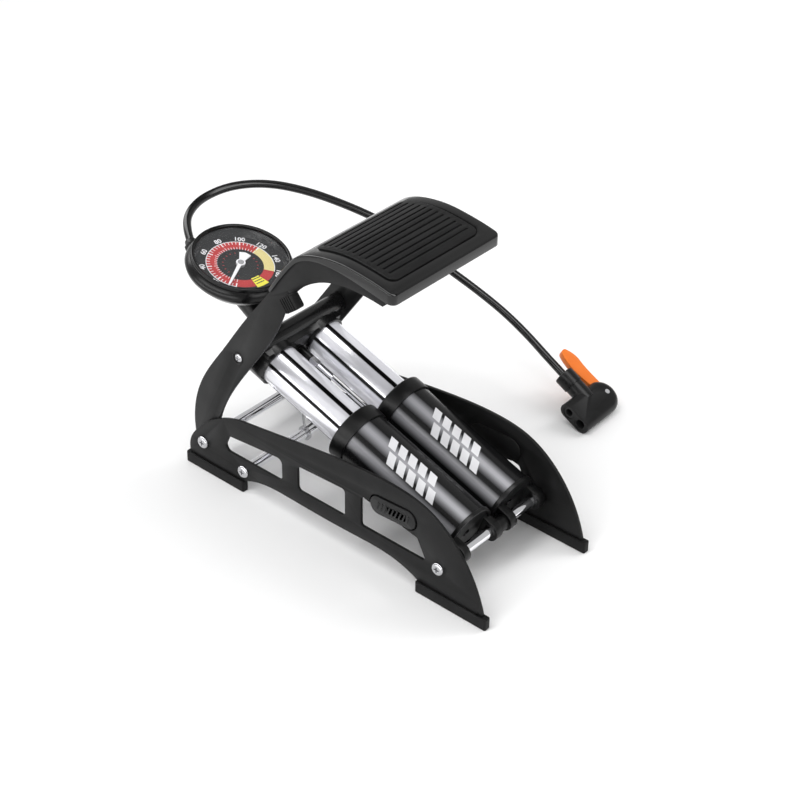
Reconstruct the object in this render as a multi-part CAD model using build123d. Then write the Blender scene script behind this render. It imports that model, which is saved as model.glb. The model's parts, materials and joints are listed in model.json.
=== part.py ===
from build123d import *
import math
import os

# Twin-barrel foot pump with pressure gauge, hose and twin-port chuck. Millimetres.
# +Z is up, X runs across the two barrels, -Y is the front (the toe end of the base).
# The origin is on the floor, under the middle of the pump's own box.

# ---- driving dimensions -------------------------------------------------------------
LENGTH = 290.0              # toe to heel of the base
PLATE_X = 55.6              # centre of each base plate from the middle
PLATE_T = 2.4
ARM_X = 52.7                # centre of each treadle arm
ARM_T = 2.2
FOOT_W, FOOT_H = 6.0, 9.0
REAR_FOOT, FRONT_FOOT = 60.0, 63.0

PIVOT = (126.6, 25.0)       # y, z of the treadle's pivot shaft
TIE = (85.1, 18.7)          # rear tie rod
FRONT = (-101.7, 30.1)      # front shaft, which carries the barrels
UPPER = (89.9, 114.1)       # cross tube, where the arms push the plungers
ROD_R = 4.0
JOURNAL_R = 3.0
SHAFT_PLAY = 0.05           # radial running clearance of a pin in its bore

INCLINE = 18.7              # slope of the barrels, degrees
AXIS_POINT = (2.25, 68.54)  # y, z of the station from which the barrels are measured
BARREL_MID = 4.0            # the pair sits this far off the middle, towards +X
SPACING = 47.2
CAP_R, CAP_TOP, CAP_SEAM = 23.1, -10.6, 1.6
BARREL_R, BARREL_BORE = 21.7, 19.6
BARREL_END = 104.4
TUBE_R, TUBE_BORE = 15.65, 13.9
TUBE_TOP, TUBE_LOW = -95.0, 11.0
SOCKET_R, SOCKET_FACE = 17.6, -84.0
CROSS_R = 6.9

PEDAL_HALF = 54.8
PEDAL_TAIL, PEDAL_FRONT = 57.0, -56.0   # the tail is the lip behind the arms

GAUGE = (-15.0, 121.9, 168.4)   # middle of the bezel's front rim
GAUGE_TILT = 13.4               # the dial leans forward by this many degrees
GAUGE_R, GAUGE_DEEP = 40.0, 26.0
FLARE_DEPTH = 8.5               # how far behind the front rim the case is widest
BEZEL_R = 36.6

CHUCK = (193.4, -43.3)      # the chuck leans on its lower edge, held up by the hose
CHUCK_TURN, CHUCK_LEAN = 2.0, 30.0
CHUCK_H, CHUCK_HALF = 12.7, 14.0
NECK_SIDE, NECK_END = -0.4, 33.2
HOSE_D = 6.2

HOSE_ROUTE = [
    (-23.0, 166.2, 166.2), (-15.5, 179.0, 171.0), (-2.5, 188.0, 175.5), (15.0, 190.5, 179.0),
    (38.0, 184.0, 181.5), (63.5, 172.0, 177.5), (90.5, 159.0, 165.0), (117.5, 144.5, 147.5),
    (140.0, 127.5, 130.5), (159.5, 110.0, 111.5), (174.0, 91.5, 89.5), (188.5, 70.5, 70.5),
    (198.0, 48.0, 54.0), (198.5, 23.0, 42.0), (191.6, -3.0, 35.3), (192.1, -17.7, 26.8),
]

# Everything is laid out about the middle of the base, then moved so that the origin is
# under the middle of the whole pump, whose gauge stands out behind the heel.
TILT = math.radians(GAUGE_TILT)
REAR_MOST = GAUGE[1] + FLARE_DEPTH * math.sin(TILT) + GAUGE_R * math.cos(TILT)
SHIFT = (LENGTH / 2 - REAR_MOST) / 2

os.makedirs("parts", exist_ok=True)


# ---- helpers ------------------------------------------------------------------------
def save(name, *solids):
    """Write one node; several solids stay separate inside it."""
    flat = [Pos(0, SHIFT, 0) * s for item in solids for s in item.solids()]
    shape = flat[0] if len(flat) == 1 else Compound(children=flat)
    shape.label = name
    export_step(shape, f"parts/{name}.step")


def side_plane(x):
    """Sketch plane across the pump at x: sketch axes are +Y and +Z."""
    return Plane(origin=(x, 0, 0), x_dir=(0, 1, 0), z_dir=(1, 0, 0))


def across(outline, middle, thickness):
    """Extrude a closed (y, z) outline along X, centred on the given x."""
    face = make_face(side_plane(middle - thickness / 2) * outline)
    return extrude(face, thickness, dir=(1, 0, 0))


def cross_pin(centre, radius, x0, x1):
    """Cylinder along X from x0 to x1 at a (y, z) place."""
    plane = Plane(origin=(x0, centre[0], centre[1]), z_dir=(1, 0, 0))
    return extrude(plane * Circle(radius), x1 - x0)


def ring(plane, outer, inner, length):
    return extrude(plane * (Circle(outer) - Circle(inner)), length)


def disc(plane, radius, length):
    return extrude(plane * Circle(radius), length)


def window(points, radius):
    """Rounded polygon (y, z) as a cutting outline."""
    return fillet(Polyline(*points, close=True).vertices(), radius)


SLOPE = math.radians(INCLINE)
DOWN = Vector(0, -math.cos(SLOPE), -math.sin(SLOPE))    # along a barrel, towards the front shaft
UP_NORMAL = Vector(0, -math.sin(SLOPE), math.cos(SLOPE))


def station(along, x=0.0, lift=0.0):
    """Point on the barrels' plane: distance along the axis, place in x, height over it."""
    base = Vector(x, AXIS_POINT[0], AXIS_POINT[1])
    return base + DOWN * along + UP_NORMAL * lift


def barrel_plane(along, x=0.0, lift=0.0):
    """Plane square to the barrels, facing down the axis, with its own x along +X."""
    return Plane(origin=station(along, x, lift), x_dir=(1, 0, 0), z_dir=DOWN)


def barrel_box(x0, x1, a0, a1, h0, h1):
    """Box aligned with the barrels: x range, range along the axis, height range."""
    middle = station((a0 + a1) / 2, (x0 + x1) / 2, (h0 + h1) / 2)
    return Plane(origin=middle, x_dir=(1, 0, 0), z_dir=DOWN) * Box(x1 - x0, h1 - h0, a1 - a0)


SIDES = {"left": -1, "right": 1}
BARREL_X = {side: BARREL_MID + sign * SPACING / 2 for side, sign in SIDES.items()}

# ---- base plates --------------------------------------------------------------------
FOOT_TOP = FOOT_H + 0.6


def base_outline():
    heel, toe = LENGTH / 2 - 3.2, -LENGTH / 2 + 3.9
    top = Spline((85.7, 62.6), (40, 69.2), (-20, 77.2), (-62, 78.9), (-90, 73.8), (-115, 56.8),
                 (-132, 33.5), (toe, FOOT_TOP))
    back = Spline((heel, FOOT_TOP), (heel - 1.2, 22.7), (heel - 10, 35.6), (113.5, 51.6),
                  (101.3, 57.9), (85.7, 62.6))
    arch = Spline((-82.5, FOOT_TOP), (-65, 15.8), (-20, 17.4), (37, 17.4), (67.4, 15.8),
                  (84.5, FOOT_TOP))
    return back + top + Line((toe, FOOT_TOP), (-82.5, FOOT_TOP)) + arch + Line(
        (84.5, FOOT_TOP), (heel, FOOT_TOP))


REAR_WINDOW = [(105.5, 29), (45.8, 29), (45.8, 48.8), (99.3, 43.4)]
MID_WINDOW = [(30.4, 29.3), (-15.3, 29.3), (-15.3, 53.0), (30.4, 50.6)]
TOE_WINDOW = [(-30.4, 29.5), (-90.5, 29.5), (-82.0, 46.0), (-30.4, 55.5)]
BADGE = (-60.2, 56.6)           # y, z of the oval badge
BADGE_LONG, BADGE_HIGH = 41.0, 14.5
BADGE_TILT = -3.0


def badge_face(x, grow):
    slot = SlotOverall(BADGE_LONG + grow, BADGE_HIGH + grow)
    return side_plane(x) * Pos(BADGE[0], BADGE[1]) * Rot(0, 0, BADGE_TILT) * slot


def base_plate(sign):
    middle = sign * PLATE_X
    plate = across(base_outline(), middle, PLATE_T)
    for points, radius in ((REAR_WINDOW, 4.5), (MID_WINDOW, 3.2), (TOE_WINDOW, 2.2)):
        plate -= across(window(points, radius), middle, PLATE_T * 3)
    plate -= extrude(badge_face(middle - 5, 2.4), 10)
    for centre in (PIVOT, TIE, FRONT):
        plate -= cross_pin(centre, 2.6, middle - 5, middle + 5)
    for y0, y1 in ((LENGTH / 2 - REAR_FOOT + 6, LENGTH / 2 - 9), (-LENGTH / 2 + 9, -LENGTH / 2 + FRONT_FOOT - 6)):
        tab = Box(PLATE_T, y1 - y0, 6.0)
        plate += Pos(middle, (y0 + y1) / 2, FOOT_TOP - 2.9) * tab
    return plate


def foot(sign, y0, y1):
    """Rubber shoe with a slot for the plate's tab."""
    middle = sign * PLATE_X
    body = Pos(middle, (y0 + y1) / 2, FOOT_H / 2) * Box(FOOT_W, y1 - y0, FOOT_H)
    body = fillet(body.edges().filter_by(Axis.Z), 1.6)
    body = fillet(body.edges().group_by(Axis.Z)[-1], 0.8)
    slot_y0, slot_y1 = y0 + 5.5, y1 - 8.5
    if y0 < 0:
        slot_y0, slot_y1 = y0 + 8.5, y1 - 5.5
    slot = Pos(middle, (slot_y0 + slot_y1) / 2, FOOT_H) * Box(PLATE_T + 0.1, slot_y1 - slot_y0, 12.0)
    body -= slot
    return body


def badge(sign):
    """Oval ribbed badge held in the plate's oval cut-out by two lugs at its ends."""
    middle = sign * PLATE_X
    inner = middle - PLATE_T / 2 - 0.6
    body = extrude(badge_face(inner, 0), PLATE_T + 1.2)
    frame = Pos(BADGE[0], BADGE[1]) * Rot(0, 0, BADGE_TILT)
    outer_x = middle + sign * (PLATE_T / 2 + 0.6)
    for step in range(-4, 5):
        rib = Pos(step * 3.4, 0) * Rot(0, 0, 24) * Rectangle(1.3, 6.6)
        body += extrude(side_plane(outer_x - 0.45) * frame * rib, 0.9)
    lip_x = middle - sign * (PLATE_T / 2 + 0.9)
    back = badge_face(lip_x - 0.3, 5.0)
    return body + extrude(back, 0.6)


for side, sign in SIDES.items():
    save(f"base_plate_{side}", base_plate(sign))
    save(f"foot_rear_{side}", foot(sign, LENGTH / 2 - REAR_FOOT, LENGTH / 2))
    save(f"foot_front_{side}", foot(sign, -LENGTH / 2, -LENGTH / 2 + FRONT_FOOT))
    save(f"badge_{side}", badge(sign))

# ---- shafts and screws of the base --------------------------------------------------
PLATE_IN = PLATE_X - PLATE_T / 2
PLATE_OUT = PLATE_X + PLATE_T / 2
SCREW_R = 2.5
SCREW_IN = 12.0


def cross_shaft(centre, shoulder):
    """Chrome rod between the base plates, drilled at both ends for its screws."""
    rod = cross_pin(centre, ROD_R, -shoulder, shoulder)
    if shoulder < PLATE_IN:
        rod += cross_pin(centre, JOURNAL_R, -PLATE_IN, PLATE_IN)
    for x0 in (-PLATE_IN - 1, PLATE_IN - SCREW_IN - 2):
        rod -= cross_pin(centre, SCREW_R, x0, x0 + SCREW_IN + 3)
    return rod


def screw(centre, sign, face, reach):
    """Domed screw with a cross recess; its head sits on the outer face."""
    plane = Plane(origin=(sign * face, centre[0], centre[1]), z_dir=(sign, 0, 0))
    head = disc(plane, 5.0, 2.6)
    head = fillet(head.edges().sort_by(Axis.X)[-1 if sign > 0 else 0], 1.9)
    shank = disc(Plane(origin=plane.origin, z_dir=(-sign, 0, 0)), SCREW_R - 0.05, reach)
    recess = plane.offset(1.5) * Box(4.4, 1.0, 2.4) + plane.offset(1.5) * Box(1.0, 4.4, 2.4)
    return head + shank - recess


save("rear_pivot_shaft", cross_shaft(PIVOT, ARM_X - ARM_T / 2 - 0.3))
save("rear_tie_rod", cross_shaft(TIE, PLATE_IN))
save("front_shaft", cross_shaft(FRONT, PLATE_IN))
save("base_screws", *[screw(centre, sign, PLATE_OUT, SCREW_IN)
                      for centre in (PIVOT, TIE, FRONT) for sign in SIDES.values()])

WASHER_X = (ARM_X + ARM_T / 2 + 0.15, PLATE_IN - 0.01)
save("pivot_washers", *[
    cross_pin(PIVOT, 8.5, *sorted((sign * WASHER_X[0], sign * WASHER_X[1])))
    - cross_pin(PIVOT, JOURNAL_R + 0.02, -60, 60) for sign in SIDES.values()])

# ---- treadle ------------------------------------------------------------------------
# side view of the pedal, from the lip behind the arms to the front edge
CROWN = [(PEDAL_TAIL, 185.6), (51.8, 193.8), (45.5, 203.2), (39.3, 211.6), (31.6, 220.2), (17.0, 228.0),
         (2.0, 231.4), (-12.0, 232.4), (-27.0, 231.4), (-42.0, 229.4), (PEDAL_FRONT, 226.4)]
RIM = [(54.6, 184.2), (46.5, 196.0), (39.0, 206.4), (26.8, 219.3), (15.5, 224.2), (-4.0, 226.0),
       (-24.0, 223.9), (PEDAL_FRONT, 218.6)]
NOSE_TAB = [(-50.2, 219.2), (-38.0, 221.4), (-38.0, 219.4), (-49.0, 217.2)]
MID_TAB = [(4.0, 222.6), (18.0, 220.4), (18.0, 218.4), (4.0, 220.6)]
TAB_REACH = 10.0                # the arms' tabs stand this far inwards
PEDAL_SCREW_R, PEDAL_SCREW_HEAD = 1.5, 2.8
SCREW_X = ARM_X - ARM_T / 2 - 5.4
# pedal screws on each side: y, top of the head under the tab, foot of the pedal's boss
PEDAL_SCREWS = [(-44.0, 217.4, 221.2), (11.0, 218.9, 222.2)]


def arm_outline():
    """Curved arm: rear edge, top edge under the pedal, thin nose, front edge back down."""
    back = Spline((137.2, 25), (137.9, 47), (130.5, 74), (104.5, 115.5), (81, 150), (58, 180.5),
                  (40, 206.2), (27.5, 219.9), (16, 224.8), (-4, 226.6), (-24, 224.5), (-49.5, 220.3))
    nose = Polyline((-49.5, 220.3), (-50.8, 218.8), (-46.5, 214.8))
    inner = Spline((-46.5, 214.8), (-24, 216.4), (-0.8, 213.6), (19.2, 204.1), (33.5, 190.0),
                   (47.5, 160), (61.8, 134.5), (93.6, 88), (108.5, 60), (114.5, 38), (115.6, 25))
    return back + nose + inner + ThreePointArc((115.6, 25), (126.4, 14.0), (137.2, 25))


def arm(sign):
    """Pressed arm with two tabs turned in under the pedal."""
    middle = sign * ARM_X
    inner = sign * (ARM_X - ARM_T / 2)
    plate = across(arm_outline(), middle, ARM_T)
    for outline in (NOSE_TAB, MID_TAB):
        plate += across(Polyline(*outline, close=True), inner - sign * TAB_REACH / 2, TAB_REACH + 0.4)
    plate -= cross_pin(PIVOT, JOURNAL_R + SHAFT_PLAY, middle - 5, middle + 5)
    plate -= cross_pin(UPPER, 2.6, middle - 5, middle + 5)
    sunk = sign * (ARM_X + ARM_T / 2 - HEAD_SUNK)
    plate -= cross_pin(UPPER, HEAD_R + 0.05, *sorted((sunk, sunk + sign * 5)))
    plate -= cross_pin(BUMPER_HOLE, 1.6, middle - 5, middle + 5)
    for y, _, _ in PEDAL_SCREWS:
        plate -= Pos(sign * SCREW_X, y, 210) * extrude(Circle(PEDAL_SCREW_R + 0.1), 20)
    return plate


HEAD_R, HEAD_SUNK, HEAD_PROUD = 5.0, 1.2, 0.3


def arm_bolt(sign):
    """Bolt whose low head is let into the arm, so that it passes the base plate."""
    face = sign * (ARM_X + ARM_T / 2)
    head = cross_pin(UPPER, HEAD_R, *sorted((face - sign * HEAD_SUNK, face + sign * HEAD_PROUD)))
    head = chamfer(head.edges().sort_by(Axis.X)[-1 if sign > 0 else 0], HEAD_PROUD - 0.05, 1.2)
    return head + cross_pin(UPPER, SCREW_R, *sorted((face - sign * HEAD_SUNK, face - sign * ARM_T)))


BUMPER = (32.0, 186.5)
BUMPER_HOLE = (38.5, 189.5)
BUMPER_LONG, BUMPER_HIGH, BUMPER_PROUD = 14.5, 11.5, 6.5


def bumper(sign):
    """Ribbed rubber block on the arm's outer face; it lands on the base plate's top edge."""
    face = ARM_X + ARM_T / 2
    frame = Pos(BUMPER[0], BUMPER[1]) * Rot(0, 0, -38)
    block = fillet((frame * Rectangle(BUMPER_LONG, BUMPER_HIGH)).vertices(), 2.2)
    body = extrude(side_plane(min(sign * face, sign * (face + BUMPER_PROUD))) * block, BUMPER_PROUD)
    for step in range(-2, 3):
        groove = frame * Pos(step * 2.4 + 0.8, 0) * Rectangle(0.9, BUMPER_HIGH + 3)
        start = sign * (face + BUMPER_PROUD - 0.8)
        body -= extrude(side_plane(min(start, start + sign * 2)) * groove, 2.0)
    stem = cross_pin(BUMPER_HOLE, 1.55, *sorted((sign * (face - ARM_T - 0.2), sign * face)))
    return body + stem


for side, sign in SIDES.items():
    save(f"arm_{side}", arm(sign))
    save(f"arm_bumper_{side}", bumper(sign))

save("arm_bolts", *[arm_bolt(sign) for sign in SIDES.values()])


def lifted(points, rise):
    return [(y, z + rise) for y, z in points]


def pedal_slab(low, high, half_width, y0, y1, corner):
    """Slab between two side-view curves, cut to a plan with rounded corners."""
    bottom, top = Spline(*low), Spline(*high)
    outline = bottom + Line(bottom @ 1, top @ 1) + top + Line(top @ 0, bottom @ 0)
    slab = across(outline, 0, PEDAL_HALF * 3)
    plan = fillet((Pos(0, (y0 + y1) / 2) * Rectangle(half_width * 2, y1 - y0)).vertices(), corner)
    return slab & extrude(Pos(0, 0, 150) * plan, 150, dir=(0, 0, 1))


PAD_HALF, PAD_REAR, PAD_FRONT = 44.5, 23.0, -47.0
PAD_SUNK, PAD_PROUD = 1.2, 0.9
PAD_GROOVES = 12
SHELL = 3.6                     # thickness of the pedal over its hollow underside
BOSS_R, BOSS_TOP = 3.4, 228.0


def pedal_plate():
    """Moulded saddle over the arms, hollow below, with four screw bosses and a bed for the pad."""
    body = pedal_slab(RIM, CROWN, PEDAL_HALF, PEDAL_FRONT, PEDAL_TAIL + 10, 5.0)
    body = fillet(body.faces().sort_by(Axis.Z)[-1].edges(), 1.7)
    hollow_half = ARM_X - ARM_T / 2 - 0.2
    body -= pedal_slab(lifted(CROWN, -40), lifted(CROWN, -SHELL), hollow_half, PEDAL_FRONT + 2.6, 18.0, 3.0)
    for sign in SIDES.values():
        for y, _, boss_foot in PEDAL_SCREWS:
            body += Pos(sign * SCREW_X, y, boss_foot) * extrude(Circle(BOSS_R), BOSS_TOP - boss_foot)
            body -= Pos(sign * SCREW_X, y, boss_foot - 1) * extrude(Circle(PEDAL_SCREW_R + 0.02), 6.0)
        body -= across(arm_outline(), sign * ARM_X, ARM_T + 0.1)
    return body - pedal_slab(lifted(CROWN, -PAD_SUNK), lifted(CROWN, 9), PAD_HALF, PAD_FRONT, PAD_REAR, 7.0)


def pedal_pad():
    """Rubber tread with grooves across the foot."""
    pad = pedal_slab(lifted(CROWN, -PAD_SUNK), lifted(CROWN, PAD_PROUD), PAD_HALF - 0.3, PAD_FRONT + 0.3,
                     PAD_REAR - 0.3, 6.8)
    pad = fillet(pad.faces().sort_by(Axis.Z)[-1].edges(), 0.5)
    pitch = (PAD_REAR - PAD_FRONT - 12) / (PAD_GROOVES - 1)
    groove_zone = pedal_slab(lifted(CROWN, 0.1), lifted(CROWN, 5), PAD_HALF - 5, PAD_FRONT, PAD_REAR, 6)
    for row in range(PAD_GROOVES):
        strip = Pos(0, PAD_FRONT + 7.5 + row * pitch, 230) * Box(2 * PAD_HALF, 1.5, 40)
        pad -= strip & groove_zone
    return pad


def pedal_screw(sign, y, head_top):
    """Pan-head screw from below through a tab into the pedal's boss."""
    head = Pos(sign * SCREW_X, y, head_top - 1.8) * extrude(Circle(PEDAL_SCREW_HEAD), 1.8)
    return head + Pos(sign * SCREW_X, y, head_top) * extrude(Circle(PEDAL_SCREW_R), 8.0)


save("pedal_plate", pedal_plate())
save("pedal_pad", pedal_pad())
save("pedal_screws", *[pedal_screw(sign, y, head_top) for sign in SIDES.values()
                       for y, head_top, _ in PEDAL_SCREWS])

# ---- barrels ------------------------------------------------------------------------
GUIDE_X, GUIDE_R = BARREL_MID, 1.5
NUT_R = 3.6
LUG_T = 6.5
LUGS = {"left": (-37.5, -3.0), "right": (13.0, 45.0)}   # low x of each barrel's two lugs


def end_cap(side):
    """Plug in the barrel's foot with a rim, a dished face and two lugs on the front shaft."""
    x = BARREL_X[side]
    cap = disc(barrel_plane(BARREL_END - 9.0, x), BARREL_BORE - 0.02, 6.0)
    cap += disc(barrel_plane(BARREL_END - 3.0, x), CAP_R - 0.5, 3.0)
    cap -= disc(barrel_plane(BARREL_END - 1.6, x), CAP_R - 2.3, 5.0)
    cap -= disc(barrel_plane(BARREL_END - 30, x), 3.0, 40.0)
    along = (Vector(x, *FRONT) - station(0, x)).dot(DOWN)
    lift = (Vector(x, *FRONT) - station(0, x)).dot(UP_NORMAL)
    for x0 in LUGS[side]:
        lug = barrel_box(x0, x0 + LUG_T, BARREL_END - 1.6, along, lift - 7.4, lift + 7.4)
        lug += cross_pin(FRONT, 7.4, x0, x0 + LUG_T)
        lug -= disc(barrel_plane(BARREL_END - 30, x), 3.0, 40.0)
        cap += lug & (cap_zone(x) + cross_pin(FRONT, 7.4, x0, x0 + LUG_T))
    return cap - cross_pin(FRONT, ROD_R + SHAFT_PLAY, -60, 60)


def cap_zone(x):
    """Room in which a lug may stand: the barrel's own round, and out in front of it."""
    return disc(barrel_plane(BARREL_END - 2, x), CAP_R + 2.5, 30)


def top_cap(side):
    x = BARREL_X[side]
    cap = disc(barrel_plane(CAP_TOP, x), CAP_R, CAP_SEAM - CAP_TOP)
    cap = fillet(cap.edges().sort_by(lambda e: e.center().dot(DOWN))[0], 1.4)
    cap -= disc(barrel_plane(CAP_TOP + 4.5, x), BARREL_R + 0.02, 30)
    cap -= disc(barrel_plane(CAP_TOP - 2, x), 17.5, 30)
    cap -= disc(barrel_plane(CAP_TOP - 5, GUIDE_X), GUIDE_R + 0.55, 40)
    return cap - disc(barrel_plane(CAP_TOP - 5, GUIDE_X), NUT_R + 0.6, 9.5)


for side, sign in SIDES.items():
    x = BARREL_X[side]
    start = CAP_TOP + 4.5
    save(f"barrel_{side}", ring(barrel_plane(start, x), BARREL_R, BARREL_BORE, BARREL_END - 3.0 - start))
    save(f"barrel_cap_{side}", top_cap(side))
    save(f"end_cap_{side}", end_cap(side))
    save(f"guide_bush_{side}", ring(barrel_plane(CAP_TOP + 0.8, x), 17.48, TUBE_R + SHAFT_PLAY, 9.0))

save("intake_valves", *[disc(barrel_plane(BARREL_END - 10.2, x), 6.0, 1.0) for x in BARREL_X.values()])

SPRING_R, SPRING_WIRE, SPRING_TURNS = 14.5, 1.6, 7
SPRING_TOP, SPRING_FOOT = TUBE_LOW + 9.5, BARREL_END - 11.6


def return_spring(side):
    """Open helical spring between the piston and the end cap."""
    height = SPRING_FOOT - SPRING_TOP
    path = Helix(pitch=height / SPRING_TURNS, height=height, radius=SPRING_R)
    start = Plane(origin=path @ 0, z_dir=path % 0)
    coil = sweep(start * Circle(SPRING_WIRE / 2), path=path)
    return barrel_plane(SPRING_TOP, BARREL_X[side]) * coil


for side in SIDES:
    save(f"return_spring_{side}", return_spring(side))

# spacer tubes that fill the front shaft beside the barrels' lugs
SPACER_R = 5.9
spacer_runs = ((-PLATE_IN + 0.3, LUGS["left"][0] - 0.3),
               (LUGS["left"][1] + LUG_T + 0.3, LUGS["right"][0] - 0.3),
               (LUGS["right"][1] + LUG_T + 0.3, PLATE_IN - 0.3))
save("front_spacers", *[
    cross_pin(FRONT, SPACER_R, x0, x1) - cross_pin(FRONT, ROD_R + 0.02, -60, 60)
    for x0, x1 in spacer_runs])

# ---- plungers -----------------------------------------------------------------------
CROSS_END = ARM_X - ARM_T / 2 - 0.5


def crosshead():
    """Cast cross tube with two sockets under it that hold the plunger tubes."""
    body = cross_pin(UPPER, CROSS_R, -CROSS_END, CROSS_END)
    for x in BARREL_X.values():
        body += disc(barrel_plane(-100.5, x), SOCKET_R, 16.5)
    low, high = BARREL_X["left"] - SOCKET_R + 4, BARREL_X["right"] + SOCKET_R - 4
    body += barrel_box(low, high, -100.5, -86.0, -8.0, 15.5)
    for x in BARREL_X.values():
        body -= disc(barrel_plane(TUBE_TOP - 0.05, x), TUBE_R + 0.02, 30)
        body -= disc(barrel_plane(-98.2, x), 9.0, 5)
    body -= disc(barrel_plane(-97, GUIDE_X), GUIDE_R + 0.02, 30)
    for sign in SIDES.values():
        x0 = sign * CROSS_END
        body -= cross_pin(UPPER, 3.2, *sorted((x0 - sign * 14, x0 + sign)))
    stem_plane = Plane(origin=STEM_FOOT, z_dir=STEM_DIR)
    return body - disc(stem_plane.offset(4.0), 5.02, 30) - disc(stem_plane.offset(CROSS_R + 3.9), 12, 20)


gauge_normal = Vector(0, -math.sin(TILT), math.cos(TILT))
gauge_front = Vector(*GAUGE)
STEM_FOOT = Vector(GAUGE[0], *UPPER)
STEM_TOP = gauge_front - gauge_normal * (GAUGE_DEEP + 5.0)
STEM_DIR = (STEM_TOP - STEM_FOOT).normalized()


def gauge_plane(depth):
    """Plane parallel to the dial, this far behind the bezel's front rim, facing out."""
    return Plane(origin=gauge_front - gauge_normal * depth, x_dir=(1, 0, 0), z_dir=gauge_normal)


save("crosshead", crosshead())

VALVE_SEAT = 3.0
for side in SIDES:
    x = BARREL_X[side]
    save(f"plunger_tube_{side}", ring(barrel_plane(TUBE_TOP, x), TUBE_R, TUBE_BORE, TUBE_LOW - TUBE_TOP))
    piston = disc(barrel_plane(TUBE_LOW, x), BARREL_BORE - 0.35, 8.0)
    piston += disc(barrel_plane(TUBE_LOW - 8, x), TUBE_BORE - 0.02, 8.0)
    piston -= disc(barrel_plane(TUBE_LOW - 20, x), VALVE_SEAT, 40)
    piston -= ring(barrel_plane(TUBE_LOW + 2.6, x), BARREL_BORE + 2, 16.8, 3.0)
    save(f"piston_{side}", piston)

save("piston_seals", *[ring(barrel_plane(TUBE_LOW + 2.7, x), BARREL_BORE - 0.06, 16.82, 2.8)
                       for x in BARREL_X.values()])
save("outlet_valves", *[disc(barrel_plane(TUBE_LOW - 9.2, x), 6.0, 1.0) for x in BARREL_X.values()])

SLEEVE_TOP, SLEEVE_LOW = -84.0, -74.5
save("guide_rod", disc(barrel_plane(-96.5, GUIDE_X), GUIDE_R, 110.0))
save("guide_rod_sleeve", ring(barrel_plane(SLEEVE_TOP + 0.02 - 2.0, GUIDE_X), 3.4, GUIDE_R + 0.02,
                              SLEEVE_LOW - SLEEVE_TOP + 1.9))
nut_face = barrel_plane(SLEEVE_LOW, GUIDE_X)
save("guide_rod_nut", extrude(nut_face * (RegularPolygon(NUT_R, 6) - Circle(GUIDE_R + 0.02)), 6.5))

# ---- gauge --------------------------------------------------------------------------
BEZEL_IN, GLASS_R = 33.9, 34.9
DIAL_DEPTH, DIAL_R, DIAL_HOLE = 8.0, 31.2, 1.65
SPIGOT_R = 5.0


def turned(profile):
    """Solid turned about the gauge's axis from (radius, depth behind the rim) points."""
    flat = make_face(Polyline(*[(r, -depth) for r, depth in profile], close=True))
    section = Plane(origin=gauge_front, x_dir=(1, 0, 0), z_dir=gauge_normal.cross(Vector(1, 0, 0)) * -1)
    return revolve(section * flat, Axis(gauge_front, gauge_normal))


CASE_OUTSIDE = [(0, GAUGE_DEEP), (15.0, GAUGE_DEEP), (24.0, GAUGE_DEEP - 2.5), (31.5, GAUGE_DEEP - 7.0),
                (36.5, GAUGE_DEEP - 12.0), (39.2, FLARE_DEPTH + 2.5), (GAUGE_R, FLARE_DEPTH),
                (39.4, FLARE_DEPTH - 2.2), (BEZEL_R + 0.3, 3.0)]
case_solid = turned(CASE_OUTSIDE + [(0, 3.0)])
exit_run = Vector(*HOSE_ROUTE[1]) - Vector(*HOSE_ROUTE[0])
GLAND_DIR = exit_run.normalized()
GLAND_LEN = 13.0
GLAND_SEAT = Vector(*HOSE_ROUTE[0]) - GLAND_DIR * GLAND_LEN


def gauge_housing():
    """Deep case: widest just behind the bezel, with a cone down to the dial and its ledge."""
    body = turned(CASE_OUTSIDE + [(34.4, 3.0), (DIAL_R + 0.05, DIAL_DEPTH), (DIAL_R + 0.05, DIAL_DEPTH + 1.0),
                                  (28.5, DIAL_DEPTH + 1.0), (28.0, 16.0), (19.0, GAUGE_DEEP - 3.0),
                                  (0, GAUGE_DEEP - 3.0)])
    body -= disc(Plane(origin=GLAND_SEAT - GLAND_DIR * 8, z_dir=GLAND_DIR), 3.02, 20)
    return body - disc(gauge_plane(GAUGE_DEEP + 1), SPIGOT_R + 0.02, 6.0)


save("gauge_housing", gauge_housing())

bezel = ring(gauge_plane(3.0), BEZEL_R, BEZEL_IN, 3.0)
front_edges = bezel.edges().filter_by(GeomType.CIRCLE).sort_by(lambda e: e.center().dot(gauge_normal))[-2:]
bezel = fillet(front_edges, 1.2)
bezel -= disc(gauge_plane(3.1), GLASS_R + 0.05, 1.3)
save("gauge_bezel", bezel)
save("gauge_lens", disc(gauge_plane(3.0), GLASS_R, 1.1))
save("gauge_dial", ring(gauge_plane(DIAL_DEPTH + 0.95), DIAL_R, DIAL_HOLE, 0.9))

# curved pressure tube and movement block behind the dial
bourdon = ring(gauge_plane(17.0), 24.0, 20.5, 5.0) - gauge_plane(15) * Pos(0, -25) * Box(26, 30, 14)
movement = gauge_plane(15.0) * Box(16, 12, 5.0)
save("gauge_movement", bourdon, movement)

NEEDLE_ZERO = -62.5             # rest angle of the pointer, just above the start of the scale
NEEDLE_DEPTH = DIAL_DEPTH - 1.6


def needle():
    """Pointer with a wedge-shaped counterweight, a hub and a short arbor through the dial."""
    blade = Polyline((-1.5, 0), (-0.7, -26.0), (0, -28.4), (0.7, -26.0), (1.5, 0), close=True)
    weight = Polyline((-1.2, 0), (-4.4, 10.2), (0, 11.6), (4.4, 10.2), (1.2, 0), close=True)
    flat = make_face(blade) + make_face(weight) + Circle(3.4)
    body = extrude(gauge_plane(NEEDLE_DEPTH) * Rot(0, 0, NEEDLE_ZERO) * flat, 0.8)
    return body + disc(gauge_plane(DIAL_DEPTH + 3.6), DIAL_HOLE - SHAFT_PLAY, 5.4)


save("gauge_needle", needle())

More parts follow.
